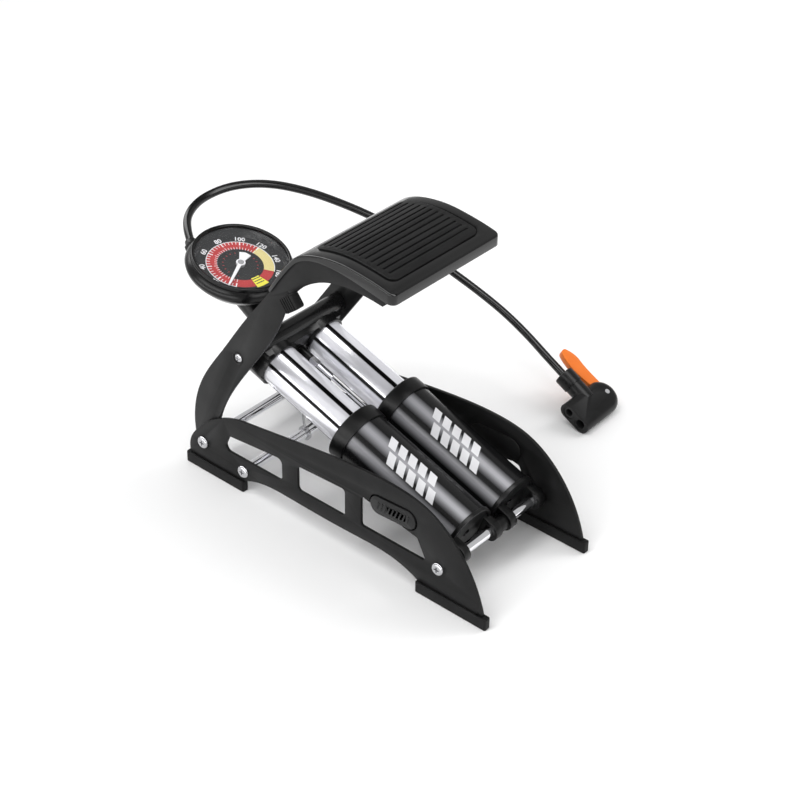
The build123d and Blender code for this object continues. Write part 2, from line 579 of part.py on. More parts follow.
stem_len = (STEM_TOP - STEM_FOOT).length
stem = disc(Plane(origin=STEM_FOOT + STEM_DIR * 4.1, z_dir=STEM_DIR), 5.0, 12.0)
stem += extrude(Plane(origin=STEM_FOOT + STEM_DIR * (CROSS_R + 4.0), z_dir=STEM_DIR)
                * RegularPolygon(9.0, 6), 9.0)
stem += disc(Plane(origin=STEM_FOOT + STEM_DIR * (CROSS_R + 12.9), z_dir=STEM_DIR), 7.4,
             stem_len - CROSS_R - 12.9 + 4.0)
stem -= disc(gauge_plane(GAUGE_DEEP + 0.02), 40, 40)
elbow = disc(gauge_plane(GAUGE_DEEP + 6.0), 9.6, 5.98)
elbow = fillet(elbow.edges().sort_by(lambda e: e.center().dot(gauge_normal))[0], 2.0)
stem += elbow + disc(gauge_plane(GAUGE_DEEP + 0.1), SPIGOT_R, 3.6)
save("gauge_stem", stem)

gland_plane = Plane(origin=GLAND_SEAT, z_dir=GLAND_DIR)
gland = disc(gland_plane, 4.4, GLAND_LEN) + extrude(gland_plane.offset(5.6) * RegularPolygon(5.6, 6), 3.4)
gland -= case_solid
gland += disc(gland_plane.offset(-2.0), 3.0, 6.0)
save("hose_gland", gland)

# ---- hose ---------------------------------------------------------------------------
corners = [Vector(*p) for p in HOSE_ROUTE]
radii = []
for before, here, after in zip(corners, corners[1:], corners[2:]):
    run_in, run_out = here - before, after - here
    turn = math.radians(run_in.get_angle(run_out))
    radii.append(0.45 * min(run_in.length, run_out.length) / math.tan(turn / 2))
hose_path = FilletPolyline(*corners, radius=radii)
hose_start = Plane(origin=corners[0], z_dir=corners[1] - corners[0])
hose = sweep(hose_start * Circle(HOSE_D / 2), path=hose_path)
print("hose bend radii:", [round(r, 1) for r in radii])
print("hose length:", round(hose_path.length, 1), "volume / (section x length):",
      round(hose.volume / (math.pi * HOSE_D ** 2 / 4 * hose_path.length), 4))
save("hose", hose)

# ---- chuck --------------------------------------------------------------------------
EDGE_R = CHUCK_H / 2            # the long edges are full rounds
LEAN = math.radians(CHUCK_LEAN)
CHUCK_Z = (CHUCK_HALF - EDGE_R) * math.sin(LEAN) - EDGE_R * math.cos(LEAN) + EDGE_R
chuck_frame = Pos(*CHUCK, CHUCK_Z) * Rot(0, 0, CHUCK_TURN) * Rot(CHUCK_LEAN, 0, 0)
PORT_END, ROUND_AT = -24.4, 12.0    # ports' face, and centre of the rounded end
PORTS = {-6.15: 3.9, 6.15: 3.05}    # place across the body: bore of its seal, one per valve size
PORT_R, SEAL_LEN = 4.8, 7.0
PIN_AT = (16.1, 0.5)
PIN_R, CAM_R = 2.0, 6.9
SLOT_Z0, SLOT_Z1 = 3.2, 8.8
LEVER_LOW, LEVER_TOP = 3.6, 8.4
NECK_R, COLLAR_R, COLLAR_LEN = 7.4, 8.1, 12.0
HOSE_BORE = 2.2


def stadium_bar():
    """Body blank: a stadium section swept along the body and round its far end."""
    reach = CHUCK_HALF - EDGE_R
    bar = Pos((PORT_END + ROUND_AT) / 2, 0, EDGE_R) * Box(ROUND_AT - PORT_END, 2 * reach, CHUCK_H)
    bar += Pos(ROUND_AT, 0, 0) * extrude(Circle(reach), CHUCK_H)
    for sign in SIDES.values():
        edge = Plane(origin=(PORT_END, sign * reach, EDGE_R), z_dir=(1, 0, 0))
        bar += extrude(edge * Circle(EDGE_R), ROUND_AT - PORT_END)
    across_end = Plane(origin=(ROUND_AT, 0, EDGE_R), x_dir=(0, 1, 0), z_dir=(1, 0, 0))
    section = across_end * Pos(-reach, 0) * Circle(EDGE_R)
    return bar + revolve(section, Axis((ROUND_AT, 0, 0), (0, 0, 1)), 180)


def chuck_body():
    body = stadium_bar()
    neck = Plane(origin=(NECK_SIDE, 6, EDGE_R), z_dir=(0, 1, 0))
    body += extrude(neck * Circle(NECK_R), NECK_END - COLLAR_LEN - 6)
    for y in PORTS:
        body -= extrude(Plane(origin=(PORT_END - 1, y, EDGE_R), z_dir=(1, 0, 0)) * Circle(PORT_R), 19)
    body -= extrude(Plane(origin=(NECK_SIDE, NECK_END + 1, EDGE_R), z_dir=(0, -1, 0)) * Circle(HOSE_BORE), 30)
    slot = Pos(PIN_AT[0] + 4, 8, (SLOT_Z0 + SLOT_Z1) / 2) * Box(22.0, 16, SLOT_Z1 - SLOT_Z0)
    swing = Pos(PIN_AT[0] + 8, 6, (SLOT_Z0 + SLOT_Z1) / 2) * Box(20.0, 25, SLOT_Z1 - SLOT_Z0)
    pocket = Pos(*PIN_AT, SLOT_Z0) * extrude(Circle(CAM_R + 0.5), SLOT_Z1 - SLOT_Z0)
    body -= pocket + slot + swing
    return body - Pos(*PIN_AT, -1) * extrude(Circle(PIN_R + 0.02), 30)


def chuck_lever():
    """Cam on the pin and a broad flat lever that lies beside the neck, tapered to its tip."""
    x, y = PIN_AT
    outer = Spline((x + 5.2, y + 4.5), (x + 5.1, y + 12.5), (x + 4.9, y + 23), (x + 6.0, y + 35))
    side = Spline((x + 6.0, y + 35), (x + 4.9, y + 42), (x + 2.2, y + 47.6))
    tip = ThreePointArc((x + 2.2, y + 47.6), (x - 1.4, y + 47.9), (x - 4.0, y + 45.4))
    back = Spline((x - 4.0, y + 45.4), (x - 6.2, y + 36.5), (x - 6.3, y + 25.5), (x - 4.6, y + 14),
                  (x - 3.8, y + 5.0))
    arm_face = make_face(outer + side + tip + back + Line((x - 3.8, y + 5.0), (x + 5.2, y + 4.5)))
    flat = arm_face + Pos(x, y) * Circle(CAM_R)
    lever = extrude(Pos(0, 0, LEVER_LOW) * flat, LEVER_TOP - LEVER_LOW)
    return lever - Pos(x, y, 0) * extrude(Circle(PIN_R + SHAFT_PLAY), 30)


save("chuck_body", chuck_frame * chuck_body())
save("chuck_lever", chuck_frame * chuck_lever())
save("lever_pin", chuck_frame * (Pos(*PIN_AT, 0.3) * extrude(Circle(PIN_R), CHUCK_H - 0.2)))
port_seals = []
for y, bore in PORTS.items():
    seal_plane = Plane(origin=(PORT_END + 0.5, y, EDGE_R), z_dir=(1, 0, 0))
    port_seals.append(chuck_frame * extrude(seal_plane * (Circle(PORT_R - 0.02) - Circle(bore)), SEAL_LEN))
save("port_seals", *port_seals)
collar_plane = Plane(origin=(NECK_SIDE, NECK_END, EDGE_R), z_dir=(0, -1, 0))
collar = extrude(collar_plane * Circle(COLLAR_R), COLLAR_LEN - 0.02)
collar = fillet(collar.edges().filter_by(GeomType.CIRCLE).sort_by(Axis.Y)[-1], 1.2)
save("neck_collar", chuck_frame * (collar - extrude(collar_plane * Circle(HOSE_BORE), 40)))

# ---- storage catch ------------------------------------------------------------------
WIRE_R = 0.9
CATCH_X = 8.2


def storage_catch():
    """Wire hook that turns on the tie rod and holds the treadle down for storage."""
    eye = cross_pin(TIE, ROD_R + SHAFT_PLAY + 2 * WIRE_R, CATCH_X - WIRE_R, CATCH_X + WIRE_R)
    eye -= cross_pin(TIE, ROD_R + SHAFT_PLAY, -60, 60)
    foot_y, foot_z = TIE[0], TIE[1] + ROD_R + WIRE_R
    path = (Spline((foot_y, foot_z), (foot_y + 1.8, foot_z + 13), (foot_y - 1.0, foot_z + 28), (foot_y - 6, foot_z + 38)))
    path += ThreePointArc(path @ 1, (foot_y - 11.2, foot_z + 41.5), (foot_y - 13.5, foot_z + 36))
    line = side_plane(CATCH_X) * path
    hook = sweep(Plane(origin=line.edges()[0] @ 0, z_dir=line.edges()[0] % 0) * Circle(WIRE_R), path=line)
    return eye + hook


save("storage_catch", storage_catch())
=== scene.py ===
import json
import math

import bmesh
import bpy
from mathutils import Matrix, Vector


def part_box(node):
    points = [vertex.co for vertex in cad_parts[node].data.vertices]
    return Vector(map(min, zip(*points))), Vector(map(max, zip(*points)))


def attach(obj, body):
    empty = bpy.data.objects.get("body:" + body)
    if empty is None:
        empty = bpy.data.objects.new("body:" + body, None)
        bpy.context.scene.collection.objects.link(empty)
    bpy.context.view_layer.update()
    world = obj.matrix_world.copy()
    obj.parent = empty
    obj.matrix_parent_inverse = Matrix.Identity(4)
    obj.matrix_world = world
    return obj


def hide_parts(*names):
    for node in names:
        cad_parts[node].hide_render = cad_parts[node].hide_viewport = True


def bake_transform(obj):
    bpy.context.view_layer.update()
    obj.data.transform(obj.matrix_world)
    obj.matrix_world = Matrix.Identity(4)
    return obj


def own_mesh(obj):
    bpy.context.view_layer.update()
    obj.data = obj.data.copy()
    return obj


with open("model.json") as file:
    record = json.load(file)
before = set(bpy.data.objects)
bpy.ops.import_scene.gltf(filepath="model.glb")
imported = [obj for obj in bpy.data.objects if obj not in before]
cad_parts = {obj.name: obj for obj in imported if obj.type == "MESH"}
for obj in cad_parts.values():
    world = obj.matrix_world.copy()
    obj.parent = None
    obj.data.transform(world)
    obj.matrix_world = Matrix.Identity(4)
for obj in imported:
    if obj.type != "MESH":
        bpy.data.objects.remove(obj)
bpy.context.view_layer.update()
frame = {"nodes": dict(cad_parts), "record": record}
scene = bpy.context.scene
MM = 0.001


def middle(node):
    low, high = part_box(node)
    return (Vector(low) + Vector(high)) / 2


# ---- sizes, in the part's own millimetres ---------------------------------------------
FRONT, TIE, PIVOT = (-101.7, 30.1), (85.1, 18.7), (126.6, 25.0)     # y, z of the three shafts
UPPER = (89.9, 114.1)           # y, z of the cross tube and the arms' bolts
SHAFT_R, SHAFT_HALF, SHAFT_DRILLED = 4.0, 54.4, 14.0
JOURNAL_R, SHOULDER = 3.0, 51.3
SCREW_R = 2.5
INCLINE = math.radians(18.7)
AXIS_POINT = (2.25, 68.54)      # y, z of the station from which the barrels are measured
BARREL_R, BARREL_BORE = 21.7, 19.6
BARREL_START, BARREL_END = -6.1, 101.4
TUBE_R, TUBE_BORE = 15.65, 13.9
TUBE_START, TUBE_END = -95.0, 11.0
BARREL_MIDDLES = {"left": -19.6, "right": 27.6}

# The part is laid out about the middle of its base; the front shaft shows where that
# middle lies in the row's frame.
BASE_Y = middle("front_shaft").y - FRONT[0] * MM


def place(x, y, z):
    return Vector((x * MM, y * MM + BASE_Y, z * MM))


def on_barrel(side, along, angle, radius):
    """Point on a barrel: distance from its station towards the toe, angle from straight up."""
    down_y, down_z = -math.cos(INCLINE), -math.sin(INCLINE)
    up_y, up_z = -math.sin(INCLINE), math.cos(INCLINE)
    x = BARREL_MIDDLES[side] + radius * math.sin(angle)
    y = AXIS_POINT[0] + along * down_y + radius * math.cos(angle) * up_y
    z = AXIS_POINT[1] + along * down_z + radius * math.cos(angle) * up_z
    return place(x, y, z)


def on_shaft(centre, along, angle, radius):
    return place(along, centre[0] + radius * math.sin(angle), centre[1] + radius * math.cos(angle))


# ---- camera -------------------------------------------------------------------------
AZIMUTH, ELEVATION, ROLL = -49.18, 34.78, 0.82
DISTANCE, ASIDE, RAISED = 1454.18, 13.16, 76.12     # millimetres from the middle of the base
SENSOR, FOCAL = 36.0, 89.298


def make_camera():
    azimuth, elevation, roll = (math.radians(a) for a in (AZIMUTH, ELEVATION, ROLL))
    back = Vector((math.sin(azimuth) * math.cos(elevation), -math.cos(azimuth) * math.cos(elevation),
                   math.sin(elevation)))
    right = (-back).cross(Vector((0, 0, 1))).normalized()
    up = right.cross(-back)
    tilted_right = right * math.cos(roll) + up * math.sin(roll)
    tilted_up = -right * math.sin(roll) + up * math.cos(roll)
    data = bpy.data.cameras.new("camera")
    data.sensor_width = SENSOR
    data.lens = FOCAL
    data.clip_end = 20.0
    camera = bpy.data.objects.new("camera", data)
    scene.collection.objects.link(camera)
    turn = Matrix((tilted_right, tilted_up, back)).transposed().to_4x4()
    offset = (back * DISTANCE + tilted_right * ASIDE + tilted_up * RAISED) * MM
    camera.matrix_world = Matrix.Translation(offset + Vector((0, BASE_Y, 0))) @ turn
    scene.camera = camera


make_camera()


# ---- materials ----------------------------------------------------------------------
def noise(tree, scale, detail=4.0, rough=0.55, stretch=(1, 1, 1)):
    """Noise in the object's own coordinates, in metres, so it never slides."""
    nodes, links = tree.nodes, tree.links
    where = nodes.new("ShaderNodeTexCoord")
    mapping = nodes.new("ShaderNodeMapping")
    mapping.inputs["Scale"].default_value = stretch
    texture = nodes.new("ShaderNodeTexNoise")
    texture.inputs["Scale"].default_value = scale
    texture.inputs["Detail"].default_value = detail
    texture.inputs["Roughness"].default_value = rough
    links.new(where.outputs["Object"], mapping.inputs["Vector"])
    links.new(mapping.outputs["Vector"], texture.inputs["Vector"])
    return texture.outputs["Fac"]


def spread(tree, value, low, high, start=0.3, end=0.7):
    """Map a texture value onto a range."""
    node = tree.nodes.new("ShaderNodeMapRange")
    node.inputs["From Min"].default_value = start
    node.inputs["From Max"].default_value = end
    node.inputs["To Min"].default_value = low
    node.inputs["To Max"].default_value = high
    tree.links.new(value, node.inputs["Value"])
    return node.outputs["Result"]


def ramp(tree, value, stops):
    node = tree.nodes.new("ShaderNodeValToRGB")
    elements = node.color_ramp.elements
    while len(elements) < len(stops):
        elements.new(0.5)
    for element, (position, colour) in zip(elements, stops):
        element.position = position
        element.color = (*colour, 1.0)
    tree.links.new(value, node.inputs["Fac"])
    return node.outputs["Color"]


def grey(value):
    return (value, value, value * 1.03)


def material(name, dark, light, rough, metal=0.0, grain=60.0, grain_stretch=(1, 1, 1), bump=0.1,
             bump_scale=900.0, bump_depth=0.00004, coat=0.0, coat_rough=0.05, specular=0.5):
    """Surface with uneven colour, uneven roughness and a fine relief."""
    made = bpy.data.materials.new(name)
    made.use_nodes = True
    tree = made.node_tree
    shader = tree.nodes["Principled BSDF"]
    shader.inputs["Metallic"].default_value = metal
    shader.inputs["Coat Weight"].default_value = coat
    shader.inputs["Coat Roughness"].default_value = coat_rough
    shader.inputs["Specular IOR Level"].default_value = specular
    mottle = noise(tree, grain, stretch=grain_stretch)
    tree.links.new(ramp(tree, mottle, [(0.3, dark), (0.7, light)]), shader.inputs["Base Color"])
    wear = noise(tree, grain * 0.6, detail=6.0, stretch=grain_stretch)
    tree.links.new(spread(tree, wear, *rough), shader.inputs["Roughness"])
    if bump:
        relief = tree.nodes.new("ShaderNodeBump")
        relief.inputs["Strength"].default_value = bump
        relief.inputs["Distance"].default_value = bump_depth
        tree.links.new(noise(tree, bump_scale, detail=3.0, stretch=grain_stretch), relief.inputs["Height"])
        tree.links.new(relief.outputs["Normal"], shader.inputs["Normal"])
    return made


MATERIALS = {
    "frame_paint": material("frame_paint", grey(0.005), grey(0.009), (0.38, 0.48), bump=0.25, specular=0.2),
    "foot_rubber": material("foot_rubber", grey(0.003), grey(0.006), (0.5, 0.65), bump=0.35, bump_scale=500,
                            specular=0.2),
    "badge_silver": material("badge_silver", grey(0.006), grey(0.011), (0.3, 0.4), bump=0.2, specular=0.3),
    "chrome": material("chrome", grey(0.9), grey(0.95), (0.03, 0.06), metal=1.0, bump=0.01,
                       grain_stretch=(1, 0.2, 0.2)),
    "bright_steel": material("bright_steel", grey(0.5), grey(0.62), (0.16, 0.26), metal=1.0, bump=0.15),
    "black_plastic": material("black_plastic", grey(0.003), grey(0.006), (0.3, 0.38), bump=0.12,
                              specular=0.3),
    "barrel_paint": material("barrel_paint", grey(0.003), grey(0.005), (0.16, 0.2), bump=0.03, specular=0.5),
    "crosshead_paint": material("crosshead_paint", grey(0.005), grey(0.008), (0.22, 0.3), bump=0.12,
                                specular=0.4),
    "seal_rubber": material("seal_rubber", grey(0.010), grey(0.016), (0.5, 0.6), bump=0.2),
    "pedal_gloss": material("pedal_gloss", grey(0.002), grey(0.003), (0.14, 0.2), bump=0.03, specular=0.5),
    "pad_rubber": material("pad_rubber", grey(0.003), grey(0.006), (0.4, 0.5), bump=0.3, bump_scale=700,
                           specular=0.22),
    "gauge_case": material("gauge_case", grey(0.002), grey(0.004), (0.2, 0.28), bump=0.1, specular=0.3),
    "dial_print": material("dial_print", grey(0.002), grey(0.004), (0.5, 0.6), bump=0.05, specular=0.08),
    "needle_white": material("needle_white", grey(0.8), grey(0.86), (0.35, 0.45), bump=0.05),
    "brass": material("brass", (0.6, 0.42, 0.16), (0.7, 0.5, 0.2), (0.25, 0.4), metal=1.0),
    "hose_rubber": material("hose_rubber", grey(0.002), grey(0.004), (0.16, 0.22), bump=0.06, bump_scale=1200,
                            specular=0.5),
    "chuck_plastic": material("chuck_plastic", grey(0.003), grey(0.006), (0.28, 0.38), bump=0.15,
                              specular=0.3),
    "dial_red": material("dial_red", (0.40, 0.018, 0.02), (0.48, 0.025, 0.025), (0.4, 0.5), bump=0.05,
                         specular=0.2),
    "dial_yellow": material("dial_yellow", (0.68, 0.58, 0.24), (0.74, 0.64, 0.3), (0.4, 0.5), bump=0.05,
                            specular=0.2),
    "dial_bright": material("dial_bright", (0.85, 0.78, 0.04), (0.9, 0.83, 0.07), (0.35, 0.45), bump=0.05),
    "dial_white": material("dial_white", grey(0.8), grey(0.88), (0.35, 0.45), bump=0.05),
    "dial_black": material("dial_black", grey(0.01), grey(0.015), (0.35, 0.45), bump=0.05),
    "dial_grey": material("dial_grey", grey(0.25), grey(0.32), (0.3, 0.4), bump=0.05),
    "graphic_white": material("graphic_white", grey(0.7), grey(0.8), (0.3, 0.4), bump=0.05),
    "lever_orange": material("lever_orange", (0.80, 0.17, 0.012), (0.88, 0.21, 0.02), (0.3, 0.4), bump=0.1),
}


def glass():
    """Thin clear cover: mostly see-through, with a little gloss."""
    made = bpy.data.materials.new("clear_lens")
    made.use_nodes = True
    tree = made.node_tree
    shader = tree.nodes["Principled BSDF"]
    shader.inputs["Base Color"].default_value = (0.9, 0.92, 0.95, 1.0)
    shader.inputs["Alpha"].default_value = 0.025
    tree.links.new(spread(tree, noise(tree, 90), 0.02, 0.06), shader.inputs["Roughness"])
    return made


MATERIALS["clear_lens"] = glass()


def banded(name, middle_x, radius, stops, metal, rough, specular):
    """Chromed or lacquered tube whose colour carries painted reflections: bands of tone that run the length
    of the piece.
    """
    made = material(name, grey(0.5), grey(0.5), rough, metal=metal, bump=0.01, specular=specular)
    tree = made.node_tree
    shader = tree.nodes["Principled BSDF"]
    where = tree.nodes.new("ShaderNodeTexCoord")
    split = tree.nodes.new("ShaderNodeSeparateXYZ")
    tree.links.new(where.outputs["Object"], split.inputs["Vector"])
    low, high = (middle_x - radius) * MM, (middle_x + radius) * MM
    across = spread(tree, split.outputs["X"], 0.0, 1.0, low, high)
    # painted reflections: tone bands fixed across the tube by its own x, whatever the lights do
    bands = ramp(tree, across, [((u + 1) / 2, grey(tone)) for u, tone in stops])
    wear = ramp(tree, noise(tree, 40.0), [(0.3, grey(0.92)), (0.7, grey(1.0))])
    mix = tree.nodes.new("ShaderNodeMix")
    mix.data_type = "RGBA"
    mix.blend_type = "MULTIPLY"
    mix.inputs["Factor"].default_value = 1.0
    tree.links.new(bands, mix.inputs["A"])
    tree.links.new(wear, mix.inputs["B"])
    tree.links.new(mix.outputs["Result"], shader.inputs["Base Color"])
    return made


def streaked(ground, painted_streaks):
    """Stops for a ground tone with soft painted reflections: centre, half width, soft edge, tone."""
    stops = []
    for centre, half, edge, tone in painted_streaks:
        stops += [(centre - half - edge, ground), (centre - half, tone),
                  (centre + half, tone), (centre + half + edge, ground)]
    return stops


# places run across a tube, from its -X edge (-1) to its +X edge (1); the tubes' dark stripes are painted
# reflections of dark strips
TUBE_PAINTED_REFLECTIONS = streaked(1.0, [(-0.85, 0.035, 0.025, 0.004), (-0.16, 0.10, 0.035, 0.004)])
# the barrels' two light stripes are painted highlights, lying in the lacquer's colour
BARREL_PAINTED_HIGHLIGHTS = streaked(0.006, [(-0.83, 0.03, 0.10, 0.26), (-0.32, 0.04, 0.24, 0.34)])
for side, middle_x in BARREL_MIDDLES.items():
    MATERIALS[f"chrome_{side}"] = banded(f"chrome_{side}", middle_x, TUBE_R, TUBE_PAINTED_REFLECTIONS, 0.35,
                                         (0.14, 0.2), 0.5)
    MATERIALS[f"lacquer_{side}"] = banded(f"lacquer_{side}", middle_x, BARREL_R, BARREL_PAINTED_HIGHLIGHTS, 0.0,
                                          (0.22, 0.28), 0.3)


# ---- pieces -------------------------------------------------------------------------
SLOT_OF = {entry["node"]: entry["material_slot"] for entry in frame["record"]["subparts"]}
BODIES = frame["record"]["behaviour"]["bodies"]
BODY_OF = {node: body for body, nodes in BODIES.items() for node in nodes}


def add_mesh(name, mesh, body, look, smooth_angle=35.0):
    piece = bpy.data.objects.new(name, mesh)
    scene.collection.objects.link(piece)
    mesh.materials.clear()
    mesh.materials.append(MATERIALS[look])
    if smooth_angle is not None:
        mesh.polygons.foreach_set("use_smooth", [True] * len(mesh.polygons))
        mesh.set_sharp_from_angle(angle=math.radians(smooth_angle))
    if body:
        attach(piece, body)
    return piece


def softened(node, width, segments=2, angle=32.0):
    """The CAD node again, with its sharp edges broken, so that they catch the light."""
    mesh = frame["nodes"][node].data.copy()
    given_normals = mesh.attributes.get("custom_normal")
    if given_normals:
        mesh.attributes.remove(given_normals)
    work = bmesh.new()
    work.from_mesh(mesh)
    bmesh.ops.remove_doubles(work, verts=work.verts, dist=2e-6)
    bmesh.ops.dissolve_limit(work, angle_limit=math.radians(0.6), verts=work.verts, edges=work.edges)
    bmesh.ops.recalc_face_normals(work, faces=work.faces)
    work.to_mesh(mesh)
    work.free()
    rough = bpy.data.objects.new(node + "_rough", mesh)
    scene.collection.objects.link(rough)
    bevel = rough.modifiers.new("edges", "BEVEL")
    bevel.width = width
    bevel.segments = segments
    bevel.limit_method = "ANGLE"
    bevel.angle_limit = math.radians(angle)
    bevel.use_clamp_overlap = True
    bevel.harden_normals = False
    bevel.miter_outer = "MITER_ARC"
    graph = bpy.context.evaluated_depsgraph_get()
    done = bpy.data.meshes.new_from_object(rough.evaluated_get(graph))
    bpy.data.objects.remove(rough)
    piece = add_mesh(node + "_finish", done, BODY_OF[node], SLOT_OF[node], 40.0)
    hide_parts(node)
    return piece


# how far the sharp edges of each visible piece are broken
EDGE_WIDTHS = {
    "base_plate_left": 0.45, "base_plate_right": 0.45, "arm_left": 0.45, "arm_right": 0.45,
    "foot_rear_left": 0.5, "foot_rear_right": 0.5, "foot_front_left": 0.5, "foot_front_right": 0.5,
    "badge_left": 0.3, "badge_right": 0.3, "base_screws": 0.45, "pivot_washers": 0.2,
    "front_spacers": 0.4, "arm_bumper_left": 0.5, "arm_bumper_right": 0.5, "pedal_pad": 0.3,
    "barrel_cap_left": 0.6, "barrel_cap_right": 0.6, "end_cap_left": 0.6, "end_cap_right": 0.6,
    "crosshead": 0.5, "gauge_housing": 0.2, "gauge_bezel": 0.2, "gauge_stem": 0.5, "hose_gland": 0.3,
    "chuck_body": 0.5, "chuck_lever": 0.8, "neck_collar": 0.4, "port_seals": 0.3, "pedal_plate": 0.25,
}

# the object that shows each node: the CAD piece, until a finish takes its place
finished = dict(frame["nodes"])


def finish_nodes():
    """Every CAD node gets its own finish; the visible ones also get broken edges."""
    for node, piece in frame["nodes"].items():
        mesh = piece.data
        for index in range(len(piece.material_slots)):
            piece.material_slots[index].material = MATERIALS[SLOT_OF[node]]
        if not piece.material_slots:
            mesh.materials.append(MATERIALS[SLOT_OF[node]])
    for node, width in EDGE_WIDTHS.items():
        finished[node] = softened(node, width * MM)


finish_nodes()


def turned_mesh(name, where, outline, steps):
    """Mesh of a closed outline of (along, radius) points turned about its axis."""
    work = bmesh.new()
    rings = []
    for k in range(steps):
        angle = 2 * math.pi * k / steps
        rings.append([work.verts.new(where(along, angle, radius)) for along, radius in outline])
    for k in range(steps):
        here, after = rings[k], rings[(k + 1) % steps]
        for i in range(len(outline)):
            j = (i + 1) % len(outline)
            if outline[i][1] or outline[j][1]:
                work.faces.new((here[i], here[j], after[j], after[i]))
    bmesh.ops.remove_doubles(work, verts=work.verts, dist=1e-7)
    return as_data(name, work)


def as_data(name, work):
    """Close a bmesh into mesh data, with its faces turned outwards."""
    bmesh.ops.recalc_face_normals(work, faces=work.faces)
    mesh = bpy.data.meshes.new(name)
    work.to_mesh(mesh)
    work.free()
    return mesh


def joined(meshes):
    work = bmesh.new()
    for mesh in meshes:
        work.from_mesh(mesh)
    whole = bpy.data.meshes.new("joined")
    work.to_mesh(whole)
    work.free()
    return whole


def turned(node, where, outline, steps, look):
    """A round node drawn afresh, so that its reflections run true."""
    mesh = turned_mesh(node + "_turned", where, outline, steps)
    piece = add_mesh(node + "_finish", mesh, BODY_OF[node], look, 30.0)
    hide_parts(node)
    finished[node] = piece


def tube_outline(start, end, outer, inner, edge=0.35):
    return [(start, inner), (start, outer - edge), (start + edge, outer), (end - edge, outer),
            (end, outer - edge), (end, inner)]


def shaft_outline(stepped):
    """Rod drilled at both ends for its screws; the pivot's rod is stepped down at its ends."""
    right = [(SHAFT_HALF, SHAFT_R)]
    if stepped:
        right = [(SHOULDER, SHAFT_R), (SHOULDER, JOURNAL_R), (SHAFT_HALF, JOURNAL_R)]
    bottom = SHAFT_HALF - SHAFT_DRILLED
    right += [(SHAFT_HALF, SCREW_R), (bottom, SCREW_R), (bottom, 0)]
    left = [(-along, radius) for along, radius in reversed(right)]
    return left + right


def turn_round_pieces():
    for side in BARREL_MIDDLES:
        turned(f"plunger_tube_{side}", lambda a, t, r: on_barrel(side, a, t, r),
               tube_outline(TUBE_START, TUBE_END, TUBE_R, TUBE_BORE), 128, f"chrome_{side}")
        turned(f"barrel_{side}", lambda a, t, r: on_barrel(side, a, t, r),
               tube_outline(BARREL_START, BARREL_END, BARREL_R, BARREL_BORE), 128, f"lacquer_{side}")
    for node, centre in (("rear_tie_rod", TIE), ("front_shaft", FRONT), ("rear_pivot_shaft", PIVOT)):
        outline = shaft_outline(stepped=centre == PIVOT)
        turned(node, lambda a, t, r: on_shaft(centre, a, t, r), outline, 64, "chrome")


# half outline of an arm's bolt: a dark cup with a domed screw in its middle
BOLT_OUTLINE = [(52.6, 0), (52.6, 5.0), (53.95, 5.0), (54.1, 4.8), (54.1, 4.4), (53.0, 3.7), (53.3, 3.4),
                (53.85, 2.4), (54.1, 1.0), (54.1, 0)]
DOME_R = 3.35
CROSS_X, CROSS_DEEP, CROSS_LONG, CROSS_WIDE = 53.9, 0.9, 4.2, 0.9


def cut(piece, mesh):
    """Take a closed mesh out of a piece."""
    tool = bpy.data.objects.new("tool", mesh)
    scene.collection.objects.link(tool)
    hole = piece.modifiers.new("cut", "BOOLEAN")
    hole.operation = "DIFFERENCE"
    hole.solver = "EXACT"
    hole.object = tool
    graph = bpy.context.evaluated_depsgraph_get()
    done = bpy.data.meshes.new_from_object(piece.evaluated_get(graph))
    piece.modifiers.clear()
    piece.data = done
    bpy.data.objects.remove(tool)


def cross_bar(sign, long_y, long_z):
    """One bar of the cross recess, on the arm at this side."""
    work = bmesh.new()
    bmesh.ops.create_cube(work, size=1.0)
    for vert in work.verts:
        x, y, z = vert.co
        vert.co = place(sign * CROSS_X + x * CROSS_DEEP, UPPER[0] + y * long_y, UPPER[1] + z * long_z)
    return as_data("cross", work)


def arm_bolts():
    """Domed screw in the middle of a dark cup, with a cross cut in it, on each arm."""
    bolts = [turned_mesh("bolt", lambda a, t, r: on_shaft(UPPER, sign * a, t, r), BOLT_OUTLINE, 48)
             for sign in (-1, 1)]
    piece = add_mesh("arm_bolts_finish", joined(bolts), "treadle", "bright_steel", 30.0)
    for sign in (-1, 1):
        for long_y, long_z in ((CROSS_LONG, CROSS_WIDE), (CROSS_WIDE, CROSS_LONG)):
            cut(piece, cross_bar(sign, long_y, long_z))
    piece.data.materials.append(MATERIALS["black_plastic"])
    axis = place(0, *UPPER)
    for face in piece.data.polygons:
        reach = math.hypot(face.center.y - axis.y, face.center.z - axis.z) / MM
        face.material_index = 1 if reach > DOME_R else 0
    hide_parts("arm_bolts")


turn_round_pieces()
arm_bolts()


def make_springs():
    """The return springs, each on its own copy of its coil, carried with the barrels."""
    for side in BARREL_MIDDLES:
        node = f"return_spring_{side}"
        coil = frame["nodes"][node].data.copy()
        spring = add_mesh(node + "_finish", coil, "barrels", "bright_steel", None)
        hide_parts(node)
        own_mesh(spring)


make_springs()


# ---- gauge dial ---------------------------------------------------------------------
GAUGE = (-15.0, 121.9, 168.4)   # middle of the bezel's front rim
TILT = math.radians(13.4)
DIAL_DEPTH = 8.0
PRINT, SUNK = 0.08, 0.05        # how far the print stands above the dial and reaches into it
BAND_IN, BAND_OUT = 17.0, 24.5
ZERO_AT, DEGREES_PER_MARK = 218.6, 1.7145
LAST_MARK = 160
# angles at which the band's colours change, going round with the scale
YELLOW_START, YELLOW_END, WARNING_START, WARNING_END = 14.7, -53.3, -82.0, -106.7
WARNING_GAP, STRIPES_AT = 0.6, -94.4
NUMERAL_R, NUMERAL_SIZE, NUMERAL_WEIGHT = 27.9, 5.6, 0.12


